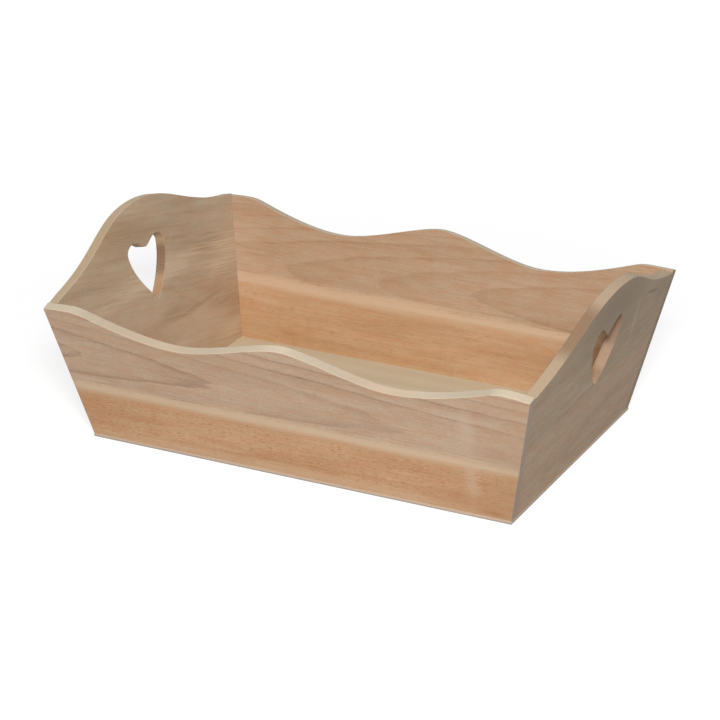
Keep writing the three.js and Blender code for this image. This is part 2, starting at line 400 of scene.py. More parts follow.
for label, most in RING_SHIFTS.items():
    shift = add(figure, "ShaderNodeMapRange", {"Value": noises[label], "To Min": -most, "To Max": most})
    radius = add(figure, "ShaderNodeMath", {0: radius, 1: shift}, operation="ADD")
counted = add(figure, "ShaderNodeMath", {0: radius, 1: taken["First Ring"]}, operation="SUBTRACT")
rings = add(figure, "ShaderNodeMath", {0: counted, 1: taken["Ring Width"]}, operation="DIVIDE")
share = add(figure, "ShaderNodeMath", {0: rings}, operation="FRACT")
number = add(figure, "ShaderNodeMath", {0: rings}, operation="FLOOR")
chance = add(figure, "ShaderNodeTexWhiteNoise", {"W": number}, noise_dimensions="1D")
strength = add(figure, "ShaderNodeMapRange", {"Value": chance.outputs["Value"], "To Min": FAINTEST_RING})
growth = add(figure, "ShaderNodeFloatCurve", {"Value": share})
for grown_share, darkness in RING_GROWTH:
    growth.mapping.curves[0].points.new(grown_share, darkness)
growth.mapping.curves[0].points[-1].location = (1.0, 0.0)
growth.mapping.update()
given = {"Ring": add(figure, "ShaderNodeMath", {0: growth, 1: strength}, operation="MULTIPLY")}
for label in ("Cloud", "Blush", "Fibre", "Ray", "Mottle"):
    span = RAY_SPAN if label == "Ray" else NOISE_SPAN
    given[label] = add(figure, "ShaderNodeMapRange", {"Value": noises[label.lower()], **span})
add(figure, "NodeGroupOutput", given)
print("beech figure:", len(figure.nodes), "nodes")

# %% [markdown]
# A stave's material reads Object coordinates, and a Mapping node turns them into the flat board's own
# millimetres. The surface normal, turned in the same way, tells the sawn faces from the cut edges. The
# tone, from pale to dark, is the sum of rings, clouds, fibres and a fine mottle. It starts low enough that
# its average stays the same however strong each of them is. A pink blush and the dark rays go on top.

# %% Sanded beech, from the board's place to its tones
def board_frame(tree, wall):
    """The place on the flat board in millimetres, and the way that the surface faces there."""
    turn = wall["turn"]
    turned = (math.pi / 2 + wall["lean"], 0, turn)
    foot = Vector((math.sin(turn) * wall["reach"], -math.cos(turn) * wall["reach"], BASE_THICKNESS)) * MM
    coordinates = add(tree, "ShaderNodeTexCoord").outputs
    board = add(tree, "ShaderNodeMapping", {"Vector": coordinates["Object"], "Location": foot,
                                            "Rotation": turned, "Scale": (MM, MM, MM)}, vector_type="TEXTURE")
    facing = add(tree, "ShaderNodeMapping", {"Vector": coordinates["Normal"], "Rotation": turned},
                 vector_type="TEXTURE")
    return board, facing


TONE_MEAN = 0.4
RING_MEAN = 0.21
NOISE_MEAN = 0.5
BLUSH = "#ffe9dc"


def sawn_face(tree, grain, tones, weights, blush_share, ray_tone, ray_share):
    """The colour of a sawn and sanded face."""
    start = TONE_MEAN - RING_MEAN * weights[0] - NOISE_MEAN * sum(weights[1:])
    tone = add(tree, "ShaderNodeMath", {0: grain["Ring"], 1: weights[0], 2: start}, operation="MULTIPLY_ADD")
    for label, weight in zip(("Cloud", "Fibre", "Mottle"), weights[1:]):
        tone = add(tree, "ShaderNodeMath", {0: grain[label], 1: weight, 2: tone}, operation="MULTIPLY_ADD")
    ramp = add(tree, "ShaderNodeValToRGB", {0: tone})
    stops = ramp.color_ramp.elements
    while len(stops) < len(tones):
        stops.new(0.5)
    for i, hex_colour in enumerate(tones):
        stops[i].position = i / (len(tones) - 1)
        stops[i].color = linear(hex_colour)
    blush = add(tree, "ShaderNodeMath", {0: grain["Blush"], 1: blush_share}, operation="MULTIPLY")
    colour = add(tree, "ShaderNodeMix", {0: blush, 6: ramp, 7: BLUSH}, data_type="RGBA",
                 blend_type="MULTIPLY").outputs[2]
    ray = add(tree, "ShaderNodeMath", {0: grain["Ray"], 1: ray_share}, operation="MULTIPLY")
    return add(tree, "ShaderNodeMix", {0: ray, 6: colour, 7: ray_tone}, data_type="RGBA").outputs[2]


print("the tone starts from", TONE_MEAN, "less what rings and noises add on average")

# %% [markdown]
# Two things lie over the figure. The upper boards have a pale band of sapwood along the glue line, with a
# ragged edge, and the lower boards fade into it. And a few marks are this tray's own: a smear where a
# plane has slipped, a dark streak, a knot's eye. One mark on the back wall, by the right corner, is painted
# shadow: it darkens the wood where the right wall's shade shows through the right heart. A mark is a soft
# ellipse on the board.

# %% Sanded beech, its bands and marks
BAND_SWAYS = {"Cloud": 2.0, "Fibre": 1.25, "Ray": 1.5}
BAND_SHARE = 0.95
MARK_DEPTH = WALL * 3
MARK_RAGGEDNESS = 0.5
MARK_CORE = 0.3
MARK_RIM = 1.2


def tinted(tree, colour, tone, share, place, full, gone):
    """Lays a tone over a colour. It has its whole share up to the place full, and fades out up to gone."""
    soft = add(tree, "ShaderNodeMapRange",
               {"Value": place, "From Min": full, "From Max": gone, "To Min": share, "To Max": 0.0},
               interpolation_type="SMOOTHSTEP")
    return add(tree, "ShaderNodeMix", {0: soft, 6: colour, 7: tone}, data_type="RGBA").outputs[2]


def banded(tree, colour, board, grain, full, gone, tone):
    """Sapwood along the glue line. It is full at one height on the slope, and gone at the other."""
    height = add(tree, "ShaderNodeSeparateXYZ", {0: board}).outputs[1]
    for label, sway in BAND_SWAYS.items():
        wander = add(tree, "ShaderNodeMapRange", {"Value": grain[label], "To Min": -sway, "To Max": sway})
        height = add(tree, "ShaderNodeMath", {0: height, 1: wander}, operation="ADD")
    return tinted(tree, colour, tone, BAND_SHARE, height, full, gone)


def spotted(tree, colour, board, grain, marks):
    """Marks: middle, half length, half height, colour and share, and a turn where one lies askew."""
    for x, y, half_length, half_height, tone, share, *turn in marks:
        spot = add(tree, "ShaderNodeMapping",
                   {"Vector": board, "Location": (x, y, 0), "Rotation": (0, 0, sum(turn)),
                    "Scale": (half_length, half_height, MARK_DEPTH)}, vector_type="TEXTURE")
        away = add(tree, "ShaderNodeVectorMath", {0: spot}, operation="LENGTH").outputs["Value"]
        ragged = add(tree, "ShaderNodeMath", {0: grain["Fibre"], 1: MARK_RAGGEDNESS, 2: away},
                     operation="MULTIPLY_ADD")
        colour = tinted(tree, colour, tone, share, ragged, MARK_CORE, MARK_RIM)
    return colour


print("a band's edge sways by up to", sum(BAND_SWAYS.values()), "mm each way")

# %% [markdown]
# Where a rim or a heart is cut through the wood, the surface is fresh and pale. The more the cut runs
# across the fibres, the more it is end grain, which drinks up light and is darker. So the steep parts of a
# rim are browner than its level parts, and the ends of the long boards, which show at the corners, are
# brown all over. Fibres seldom run quite along a board: a slight tilt makes one flank of a rim browner
# than the other.

# %% Sanded beech, its cut edges
RIM_TURN = {"From Min": 0.35, "From Max": 0.9}
RIM_SHARE = 0.85
STRETCH_CORE = 0.4
FIBRE_CUT = 0.12
END_GRAIN_SHARE = 0.9
END_STREAKS = {"To Min": 0.7, "To Max": 1.1}
END_EASE = 3


def rim_colour(tree, board, tone, rim_marks):
    """The tone of a rim, with stretches of another tone: middle, half length, colour and share."""
    colour = tone
    along = add(tree, "ShaderNodeSeparateXYZ", {0: board}).outputs[0]
    for x, half_length, mark, share in rim_marks:
        off = add(tree, "ShaderNodeMath", {0: along, 1: x}, operation="SUBTRACT")
        off = add(tree, "ShaderNodeMath", {0: off}, operation="ABSOLUTE")
        colour = tinted(tree, colour, mark, share, off, half_length * STRETCH_CORE, half_length)
    return colour


def cut_edges(tree, colour, board, facing, grain, rim_tone, rim_marks, end_tones, fibre_tilt, full_cut):
    """Lays the tones of cut edges over a sawn face, by the way that the surface faces.

    End tones are the lowest colour, and then pairs of a height on the slope and the colour above it.
    """
    sides = add(tree, "ShaderNodeSeparateXYZ", {0: facing}).outputs
    up = add(tree, "ShaderNodeMath", {0: sides[1]}, operation="ABSOLUTE")
    rim = add(tree, "ShaderNodeMapRange", {"Value": up, "To Max": RIM_SHARE, **RIM_TURN})
    pale = rim_colour(tree, board, rim_tone, rim_marks)
    colour = add(tree, "ShaderNodeMix", {0: rim, 6: colour, 7: pale}, data_type="RGBA").outputs[2]
    fibre_way = (math.cos(fibre_tilt), math.sin(fibre_tilt), 0)
    across = add(tree, "ShaderNodeVectorMath", {0: facing, 1: fibre_way}, operation="DOT_PRODUCT")
    across = add(tree, "ShaderNodeMath", {0: across.outputs["Value"]}, operation="ABSOLUTE")
    across = add(tree, "ShaderNodeMapRange", {"Value": across, "From Min": FIBRE_CUT, "From Max": full_cut,
                                              "To Max": END_GRAIN_SHARE})
    streaked = add(tree, "ShaderNodeMapRange", {"Value": grain["Fibre"], **END_STREAKS})
    share = add(tree, "ShaderNodeMath", {0: across, 1: streaked}, operation="MULTIPLY", use_clamp=True)
    height = add(tree, "ShaderNodeSeparateXYZ", {0: board}).outputs[1]
    ends = end_tones[0]
    for change, tone in end_tones[1:]:
        ripe = add(tree, "ShaderNodeMapRange",
                   {"Value": height, "From Min": change - END_EASE, "From Max": change + END_EASE})
        ends = add(tree, "ShaderNodeMix", {0: ripe, 6: ends, 7: tone}, data_type="RGBA").outputs[2]
    return add(tree, "ShaderNodeMix", {0: share, 6: colour, 7: ends}, data_type="RGBA").outputs[2]


print("end grain starts", round(math.degrees(math.asin(FIBRE_CUT)), 1), "degrees off the fibres")

# %% [markdown]
# The whole material joins these layers. Beech that is sawn, planed and fine-sanded, with no varnish, is
# matt to the eye, with a slight sheen that the fibres break up. So the fibres steer the roughness and a
# very low bump. Each material starts empty, and a Principled shader takes its layers in the end.

# %% Sanded beech, the whole material
WOOD_IOR = 1.5
WOOD_ROUGHNESS = {"To Min": 0.55, "To Max": 0.72}
FIBRE_RELIEF = 0.12
FIBRE_BUMP = 0.3


def new_material(name):
    material = bpy.data.materials.new(name)
    material.use_nodes = True
    material.node_tree.nodes.clear()
    return material, material.node_tree


def beech(name, wall, pith, seed, tones, weights, ray_share, rim_tone, end_tones, fibre_tilt, full_cut,
          band=None, marks=(), rim_marks=(), ray_tone="#9a6845", blush_share=0.8, figure_turn=0.0):
    material, tree = new_material(name)
    board, facing = board_frame(tree, wall)
    figured = add(tree, "ShaderNodeMapping", {"Vector": board, "Rotation": (0, 0, figure_turn)},
                  vector_type="TEXTURE")
    growth = dict(zip((*PITH, "Seed"), (*pith, seed)))
    grain = add(tree, "ShaderNodeGroup", {"Board": figured, **growth}, node_tree=figure).outputs
    colour = sawn_face(tree, grain, tones, weights, blush_share, ray_tone, ray_share)
    if band:
        colour = banded(tree, colour, board, grain, *band)
    colour = spotted(tree, colour, board, grain, marks)
    colour = cut_edges(tree, colour, board, facing, grain, rim_tone, rim_marks, end_tones, fibre_tilt,
                       full_cut)
    rough = add(tree, "ShaderNodeMapRange", {"Value": grain["Fibre"], **WOOD_ROUGHNESS})
    bump = add(tree, "ShaderNodeBump",
               {"Height": grain["Fibre"], "Strength": FIBRE_BUMP, "Distance": FIBRE_RELIEF * MM})
    shader = add(tree, "ShaderNodeBsdfPrincipled",
                 {"Base Color": colour, "Roughness": rough, "Normal": bump, "IOR": WOOD_IOR})
    add(tree, "ShaderNodeOutputMaterial", {0: shader})
    return material


print("a stave's figure has", len(PITH), "values for its pith and rings, and", len(NOISE_SIZES), "noises")

# %% [markdown]
# Each board has its own place in the tree, so each gets its own pith, seed and tones. The upper boards of the
# long walls are greyish pink heartwood over a band of sapwood. The lower ones are steamed to a warm orange
# and full of rays. In these tables a pith has the seven values that PITH names, tones go from pale to dark,
# and weights are those of rings, clouds, fibres and mottle.

# %% The wood of the long walls
SAP = "#cfb394"
BACK_SAP = "#d2b190"
LONG_EDGES = {"rim_tone": "#dfd0b6", "fibre_tilt": 0.06, "full_cut": 0.8}
FRONT_EDGES = {"end_tones": ("#948372",), **LONG_EDGES}
# The back's end grain is darker than the front's: partly the wood, partly painted shade along the back-right
# edge.
BACK_EDGES = {"end_tones": ("#75644f",), **LONG_EDGES}

STAVE_WOOD = {
    "front_upper": {
        "pith": (68.5, -0.04, -33.4, -0.0435, 0.00008, 6.8, 2.9),
        "seed": 10.0,
        "tones": ("#c7b199", "#bba38a", "#ad937b", "#957861"),
        "weights": (0.5, 0.3, 0.32, 0.28),
        "ray_share": 0.25,
        "band": (45.5, 53, SAP),
        "marks": (
            (147, 72, 11, 40, "#c9b49e", 0.4),
            (190, 70, 55, 90, "#a98a6c", 0.3),
            (-172, 53.5, 40, 3.5, "#c8b095", 0.6),
            (-165, 59, 35, 1.8, "#a08469", 0.4),
            (-70, 95, 95, 12, "#b09070", 0.42),
            (-184, 78, 17, 9, "#bfa78e", 0.6),
        ),
        "rim_marks": ((-112, 55, "#dac5a9", 0.9), (-25, 42, "#ecdcc0", 0.8), (78, 38, "#dfc7ab", 0.9)),
        **FRONT_EDGES,
    },
    "front_lower": {
        "pith": (-40, 0.02, -60, 0.01, 0.0, 5, 0.0),
        "seed": 20.0,
        "tones": ("#cfad8a", "#c49e78", "#b98f68", "#a3764f"),
        "weights": (0.12, 0.45, 0.34, 0.38),
        "ray_share": 0.8,
        "band": (45, 37, SAP),
        "marks": (
            (0, 3, 400, 9, "#cfb08f", 0.5),
            (190, 30, 55, 90, "#a5825f", 0.35),
            (147, 30, 11, 32, "#ceb499", 0.4),
            (140, 10, 60, 16, "#a9784f", 0.4),
            (163, 4, 20, 4, "#a06a42", 0.55),
        ),
        **FRONT_EDGES,
    },
    "back_upper": {
        "pith": (65, -0.03, -41.5, -0.075, 0.0, 6.3, 4.65),
        "seed": 30.0,
        "tones": ("#c3aa8f", "#ba9d80", "#ae8f70", "#997758"),
        "weights": (0.3, 0.32, 0.27, 0.19),
        "ray_share": 0.2,
        "band": (45.5, 53, BACK_SAP),
        "marks": (
            (180, 70, 40, 60, "#c8ae94", 0.35),
            (34, 67, 22, 5, "#a9825f", 0.4),
            # The mark at x -147 is painted shadow: the right wall's shade on the back wall, seen through the
            # right heart.
            (-147, 44, 26, 18, "#b0733f", 0.55),
        ),
        **BACK_EDGES,
    },
    "back_lower": {
        "pith": (-30, 0.02, -50, 0.01, 0.0, 5, 0.0),
        "seed": 40.0,
        "tones": ("#cead8a", "#c4a07a", "#b8926a", "#a47953"),
        "weights": (0.1, 0.48, 0.25, 0.16),
        "ray_share": 0.38,
        "band": (45, 37, BACK_SAP),
        # The mark at x -147 is the same painted shadow, on the lower board.
        "marks": ((125, 7.5, 14, 4, "#a06a42", 0.5), (-147, 44, 26, 18, "#b0733f", 0.55)),
        **BACK_EDGES,
    },
}
print("staves of the long walls:", len(STAVE_WOOD))

# %% [markdown]
# Each end wall is two staves of one plank, a little pinker below, so its joint hardly shows. The left one is
# seen from the inside, in full light. The right one is seen from the outside, in half shade, and is a greyer
# plank with a strong mottle.

# %% The wood of the end walls
LEFT_PLANK = {
    "pith": (56, 0.0, -34.2, 0.06, 0.0, 9, 1.0),
    "seed": 50.0,
    "weights": (0.1, 0.52, 0.16, 0.15),
    "blush_share": 0.7,
    "ray_share": 0.14,
    "rim_tone": "#dac4a2",
    # Above 108 mm the end grain is painted paler: painted light on the top of the heart's cut, which faces
    # down into shade.
    "end_tones": ("#b58a63", (86, "#7f5b3c"), (108, "#b5946f")),
    "figure_turn": 0.2,
    "fibre_tilt": 0.08,
    "full_cut": 0.72,
    "marks": (
        (0, 87, 135, 14, "#dcc6aa", 0.75),
        (-112, 74, 56, 25, "#dfc6a7", 0.72),
        (42, 135, 85, 27, "#99774f", 0.66),
        (-14, 53, 34, 11, "#997a5b", 0.6),
        (-38, 47, 42, 8, "#9c7c5e", 0.35),
        (-62, 45.5, 55, 3, "#97765a", 0.5),
        (-92, 35, 22, 2.5, "#97765a", 0.4),
        (-95, 10, 40, 10, "#d8bd9c", 0.5),
    ),
}
RIGHT_PLANK = {
    "pith": (20, 0.02, -70, 0.02, 0.0, 7, 1.0),
    "seed": 70.0,
    "weights": (0.12, 0.3, 0.27, 0.46),
    "blush_share": 1.0,
    "ray_share": 0.2,
    "ray_tone": "#7d6552",
    "rim_tone": "#cbb294",
    "end_tones": ("#7a3f1c", (74, "#a5836a"), (91, "#8c6e58")),
    "fibre_tilt": -0.03,
    "full_cut": 0.9,
    "rim_marks": ((-60, 36, "#8e6b4e", 0.85),),
    "marks": (
        (8, 134, 140, 46, "#77654f", 0.74),
        (0, 106, 150, 14, "#7b6951", 0.5),
        (118, 108, 30, 26, "#7b6852", 0.45),
        (94, 113, 19, 2, "#5d4a38", 0.85, -0.23),
        (65, 100, 6, 28, "#b3a798", 0.3),
        (0, 71, 160, 2.5, "#b5a58f", 0.3),
    ),
}
STAVE_WOOD.update({
    "left_upper": {"tones": ("#ccbaa1", "#bfac92", "#ad987f", "#967f66"), **LEFT_PLANK},
    "left_lower": {"tones": ("#cab79f", "#c0aa90", "#b29679", "#997d5f"), **LEFT_PLANK},
    "right_upper": {"tones": ("#ac9b7f", "#a19075", "#938168", "#806e53"), **RIGHT_PLANK},
    "right_lower": {"tones": ("#b5a084", "#ab957a", "#9d856a", "#876e53"), **RIGHT_PLANK},
})
wood = {}
for label, values in STAVE_WOOD.items():
    wood[label] = beech("sanded beech " + label.replace("_", " "), WALLS[label.split("_")[0]], **values)
print("stave materials:", len(wood))

# %% [markdown]
# The base is a thin sheet of birch plywood. Its face veneer is peeled off the log, so the figure is broad
# and faint, and its sanded surface is matt. Its sawn edge shows under the walls as a thin pinkish line.
# The lowest part of that edge is painted grey, as painted shade along the panel's foot.

# %% Sanded plywood for the base
VENEER_SIZE = (220, 16, 16)
VENEER_FIBRE = (30, 1.0, 1.0)
VENEER_DETAIL = 3.0
VENEER_TONES = ("#dfcfb4", "#d2c0a0")
VENEER_SPAN = {"From Min": 0.45, "From Max": 0.95}
VENEER_FIBRE_SHARE = 0.4
VENEER_ROUGHNESS = {"To Min": 0.55, "To Max": 0.75}
EDGE_TONE = "#c3aa94"
# The grey on the lowest part of the edge is painted shade.
EDGE_SHADE_TONE = "#a79b8f"
EDGE_SHADE_HEIGHT = 1.3
FLAT_ENOUGH = 0.95

plywood, tree = new_material("sanded birch plywood")
coordinates = add(tree, "ShaderNodeTexCoord").outputs
sheet = add(tree, "ShaderNodeMapping", {"Vector": coordinates["Object"], "Scale": (MM, MM, MM)},
            vector_type="TEXTURE")
layers = []
for size in (VENEER_SIZE, VENEER_FIBRE):
    scaled = add(tree, "ShaderNodeVectorMath", {0: sheet, 1: size}, operation="DIVIDE")
    layers.append(add(tree, "ShaderNodeTexNoise", {"Vector": scaled, "Scale": 1.0, "Detail": VENEER_DETAIL}))
veneer = add(tree, "ShaderNodeMath", {0: layers[1], 1: VENEER_FIBRE_SHARE, 2: layers[0]},
             operation="MULTIPLY_ADD")
tone = add(tree, "ShaderNodeMapRange", {"Value": veneer, **VENEER_SPAN})
colour = add(tree, "ShaderNodeMix", {0: tone, 6: VENEER_TONES[0], 7: VENEER_TONES[1]}, data_type="RGBA")
upward = add(tree, "ShaderNodeSeparateXYZ", {0: coordinates["Normal"]}).outputs[2]
level = add(tree, "ShaderNodeMath", {0: upward}, operation="ABSOLUTE")
edge = add(tree, "ShaderNodeMath", {0: level, 1: FLAT_ENOUGH}, operation="LESS_THAN")
height = add(tree, "ShaderNodeSeparateXYZ", {0: sheet}).outputs[2]
# The lowest part of the sawn edge takes the grey of painted shade.
under = add(tree, "ShaderNodeMath", {0: height, 1: EDGE_SHADE_HEIGHT}, operation="LESS_THAN")
sawn = add(tree, "ShaderNodeMix", {0: under, 6: EDGE_TONE, 7: EDGE_SHADE_TONE}, data_type="RGBA")
colour = add(tree, "ShaderNodeMix", {0: edge, 6: colour.outputs[2], 7: sawn.outputs[2]}, data_type="RGBA")
rough = add(tree, "ShaderNodeMapRange", {"Value": veneer, **VENEER_ROUGHNESS})
shader = add(tree, "ShaderNodeBsdfPrincipled",
             {"Base Color": colour.outputs[2], "Roughness": rough, "IOR": WOOD_IOR})
add(tree, "ShaderNodeOutputMaterial", {0: shader})
print("base material:", plywood.name)

# %% [markdown]
# The nails are steel wire, drawn through a die. Drawing leaves fine lines along the wire, which blur its
# reflections. Only the heads of the pins show, from below, and they are small, so a little noise is enough.

# %% Drawn steel for the nails
WIRE_LINE = 0.3
WIRE_ROUGHNESS = {"To Min": 0.25, "To Max": 0.45}
STEEL_TONE = "#9a9b9c"

steel, tree = new_material("drawn steel wire")
place = add(tree, "ShaderNodeTexCoord").outputs["Object"]
lines = add(tree, "ShaderNodeTexNoise", {"Vector": place, "Scale": 1 / (WIRE_LINE * MM)})
rough = add(tree, "ShaderNodeMapRange", {"Value": lines, **WIRE_ROUGHNESS})
shader = add(tree, "ShaderNodeBsdfPrincipled",
             {"Base Color": STEEL_TONE, "Metallic": 1.0, "Roughness": rough})
add(tree, "ShaderNodeOutputMaterial", {0: shader})
print("nail material:", steel.name)

# %% [markdown]
# A Geometry Nodes tree is made with named inputs for its sizes. One function makes such a tree, and
# another runs it on a source object and keeps what comes out as a plain mesh, so that nothing is left to
# evaluate. A third rounds the edges of a wooden piece with a bevel. Weighted normals keep wide faces flat
# right up to the rounding.

# %% Making and running node trees
SHARP_ANGLE = math.radians(40)


def new_tree(name, inputs):
    """A tree that takes and gives a geometry, with named inputs of these socket kinds."""
    tree = bpy.data.node_groups.new(name, "GeometryNodeTree")
    tree.interface.new_socket("Geometry", in_out="INPUT", socket_type="NodeSocketGeometry")
    for label, kind in inputs.items():
        tree.interface.new_socket(label, in_out="INPUT", socket_type="NodeSocket" + kind)
    tree.interface.new_socket("Geometry", in_out="OUTPUT", socket_type="NodeSocketGeometry")
    return tree, add(tree, "NodeGroupInput").outputs


def evaluated_mesh(source):
    depsgraph = bpy.context.evaluated_depsgraph_get()
    evaluated = source.evaluated_get(depsgraph)
    return bpy.data.meshes.new_from_object(evaluated, preserve_all_data_layers=True, depsgraph=depsgraph)


def grown(name, source, tree, values):
    """Runs the tree on the source object and keeps the result as a plain mesh object."""
    modifier = source.modifiers.new(tree.name, "NODES")
    modifier.node_group = tree
    names = {item.name: item.identifier for item in tree.interface.items_tree if item.in_out == "INPUT"}
    for label, value in values.items():
        modifier[names[label]] = value
    mesh = evaluated_mesh(source)
    mesh.name = name
    bpy.data.objects.remove(source)
    return placed(name, mesh)


def smoothed(mesh):
    """Smooth shading, with the edges that turn by more than SHARP_ANGLE kept sharp."""
    mesh.shade_smooth()
    mesh.set_sharp_from_angle(angle=SHARP_ANGLE)


def finished(piece, arris, steps, limit, clamped):
    """Rounds the arrises of a piece, picked by weight or by angle, and keeps the result as its mesh."""
    rounding = piece.modifiers.new("eased arrises", "BEVEL")
    rounding.width = arris * MM
    rounding.segments = steps
    rounding.limit_method = limit
    rounding.use_clamp_overlap = clamped
    smoothed(piece.data)
    flatten = piece.modifiers.new("flat faces", "WEIGHTED_NORMAL")
    flatten.keep_sharp = True
    mesh = evaluated_mesh(piece)
    piece.modifiers.clear()
    piece.data = mesh
    return mesh


print("edges that turn by more than", round(math.degrees(SHARP_ANGLE)), "degrees stay sharp")

# %% [markdown]
# The eight staves could be modelled one by one, but they follow one rule, so one tree makes them all. A stave
# is sawn in two steps, as in the workshop. First comes the blank, a board whose ends are cut to follow the
# neighbouring wall's lean: a cube whose eight points are moved by a rule. The end's place is the half length
# at the foot, plus the flare for each millimetre up the slope, plus the slant for each millimetre of depth.

# %% The stave tree, its blank
stave_tree, taken = new_tree("Sawn stave", {
    "Half Length": "Float", "Flare": "Float", "Slant": "Float", "Thickness": "Float", "From": "Float",
    "To": "Float", "Foot Slope": "Float", "Overrun": "Float", "Shaped": "Bool", "Through": "Bool",
    "Lean": "Float", "Turn": "Float", "Reach": "Float", "Base": "Float", "Wood": "Material",
})
cube = add(stave_tree, "GeometryNodeMeshCube", {"Size": (2, 1, 1)})
position = add(stave_tree, "GeometryNodeInputPosition")
point = add(stave_tree, "ShaderNodeSeparateXYZ", {0: position}).outputs
inset = add(stave_tree, "ShaderNodeMath", {0: point[2], 1: 0.5}, operation="SUBTRACT")
depth = add(stave_tree, "ShaderNodeMath", {0: inset, 1: taken["Thickness"]}, operation="MULTIPLY")
foot = add(stave_tree, "ShaderNodeMath", {0: taken["Foot Slope"], 1: depth, 2: taken["From"]},
           operation="MULTIPLY_ADD")
slope = add(stave_tree, "ShaderNodeMapRange", {"Value": point[1], "From Min": -0.5, "From Max": 0.5,
                                               "To Min": foot, "To Max": taken["To"]})


def end_place(height, depth):
    """Where the blank's end plane is, at this height on the slope and this depth in the board."""
    flared = add(stave_tree, "ShaderNodeMath", {0: height, 1: taken["Flare"], 2: taken["Half Length"]},
                 operation="MULTIPLY_ADD")
    return add(stave_tree, "ShaderNodeMath", {0: depth, 1: taken["Slant"], 2: flared},
               operation="MULTIPLY_ADD")


along = add(stave_tree, "ShaderNodeMath", {0: point[0], 1: end_place(slope, depth)}, operation="MULTIPLY")
moved = add(stave_tree, "ShaderNodeCombineXYZ", {0: along, 1: slope, 2: depth})
blank = add(stave_tree, "GeometryNodeSetPosition", {"Geometry": cube, "Position": moved})
print("blank of the stave tree:", len(stave_tree.nodes), "nodes")

# %% [markdown]
# In the second step the outline is filled, pushed through the blank as a prism and kept where the two
# meet. The lower staves have no rim, so a switch passes their blank on as it is.

# %% The stave tree, its outline
SEAM_MERGE = 0.001
under = add(stave_tree, "ShaderNodeMath", {0: taken["Thickness"], 1: taken["Overrun"]}, operation="ADD")
below = add(stave_tree, "ShaderNodeMath", {0: under, 1: -1.0}, operation="MULTIPLY")
through = add(stave_tree, "ShaderNodeMath", {0: under, 1: taken["Overrun"]}, operation="ADD")
flat = add(stave_tree, "GeometryNodeFillCurve", {"Curve": taken["Geometry"]}, mode="NGONS")
lowered = add(stave_tree, "ShaderNodeCombineXYZ", {2: below})
flat = add(stave_tree, "GeometryNodeTransform", {"Geometry": flat, "Translation": lowered})
pushed = add(stave_tree, "GeometryNodeExtrudeMesh",
             {"Mesh": flat, "Offset Scale": through, "Individual": False})
turned_over = add(stave_tree, "GeometryNodeFlipFaces", {0: flat})
prism = add(stave_tree, "GeometryNodeJoinGeometry", {0: [turned_over, pushed]})
prism = add(stave_tree, "GeometryNodeMergeByDistance", {"Geometry": prism, "Distance": SEAM_MERGE * MM})
sawn = add(stave_tree, "GeometryNodeMeshBoolean", {"Mesh 2": [blank, prism]},
           operation="INTERSECT", solver="EXACT")
chosen = add(stave_tree, "GeometryNodeSwitch", {"Switch": taken["Shaped"], "False": blank, "True": sawn},
             input_type="GEOMETRY")
print("stave tree with its outline:", len(stave_tree.nodes), "nodes")

# %% [markdown]
# The arrises that a hand meets are rounded with sandpaper. These are the edges where outline and blank
# meet, and the outer corners of the walls that run through. The edges inside a joint stay sharp, so that
# it closes tight. The tree stores this as a bevel weight on each edge, by how far the edge's middle is
# from the end plane.

# %% The stave tree, its arrises
IN_PLANE = 0.05
ON_FACE = 0.05
spot = add(stave_tree, "ShaderNodeSeparateXYZ", {0: position}).outputs
off_middle = add(stave_tree, "ShaderNodeMath", {0: spot[0]}, operation="ABSOLUTE")
to_end = add(stave_tree, "ShaderNodeMath", {0: end_place(spot[1], spot[2]), 1: off_middle},
             operation="SUBTRACT")
clear = add(stave_tree, "ShaderNodeMath", {0: to_end, 1: IN_PLANE * MM}, operation="GREATER_THAN")
free = add(stave_tree, "ShaderNodeMath", {0: clear, 1: taken["Through"]}, operation="MAXIMUM")
sawn_edge = add(stave_tree, "ShaderNodeMath", {0: sawn.outputs["Intersecting Edges"], 1: free},
                operation="MULTIPLY")
at_end = add(stave_tree, "ShaderNodeMath", {0: to_end, 1: IN_PLANE * MM}, operation="LESS_THAN")
on_face = add(stave_tree, "ShaderNodeMath", {0: spot[2], 1: 0.0, 2: ON_FACE * MM}, operation="COMPARE")
corner = add(stave_tree, "ShaderNodeMath", {0: at_end, 1: on_face}, operation="MULTIPLY")
corner = add(stave_tree, "ShaderNodeMath", {0: corner, 1: taken["Through"]}, operation="MULTIPLY")
arris = add(stave_tree, "ShaderNodeMath", {0: sawn_edge, 1: corner}, operation="MAXIMUM")
marked = add(stave_tree, "GeometryNodeStoreNamedAttribute",
             {"Geometry": chosen, "Name": "bevel_weight_edge", "Value": arris},
             data_type="FLOAT", domain="EDGE")
print("stave tree with its arrises:", len(stave_tree.nodes), "nodes")

# %% [markdown]
# Last, the flat board is stood up, leaned out, moved to its side of the floor and swung round to its wall.

# %% The stave tree, its place
tilt = add(stave_tree, "ShaderNodeMath", {0: taken["Lean"], 1: math.pi / 2}, operation="ADD")
tilt = add(stave_tree, "ShaderNodeCombineXYZ", {0: tilt})
forward = add(stave_tree, "ShaderNodeMath", {0: taken["Reach"], 1: -1.0}, operation="MULTIPLY")
shift = add(stave_tree, "ShaderNodeCombineXYZ", {1: forward, 2: taken["Base"]})
leaned = add(stave_tree, "GeometryNodeTransform",
             {"Geometry": marked, "Rotation": tilt, "Translation": shift})
swing = add(stave_tree, "ShaderNodeCombineXYZ", {2: taken["Turn"]})
swung = add(stave_tree, "GeometryNodeTransform", {"Geometry": leaned, "Rotation": swing})
real = add(stave_tree, "GeometryNodeRealizeInstances", {0: swung})
dressed = add(stave_tree, "GeometryNodeSetMaterial", {"Geometry": real, "Material": taken["Wood"]})
add(stave_tree, "NodeGroupOutput", {0: dressed})
print("whole stave tree:", len(stave_tree.nodes), "nodes")

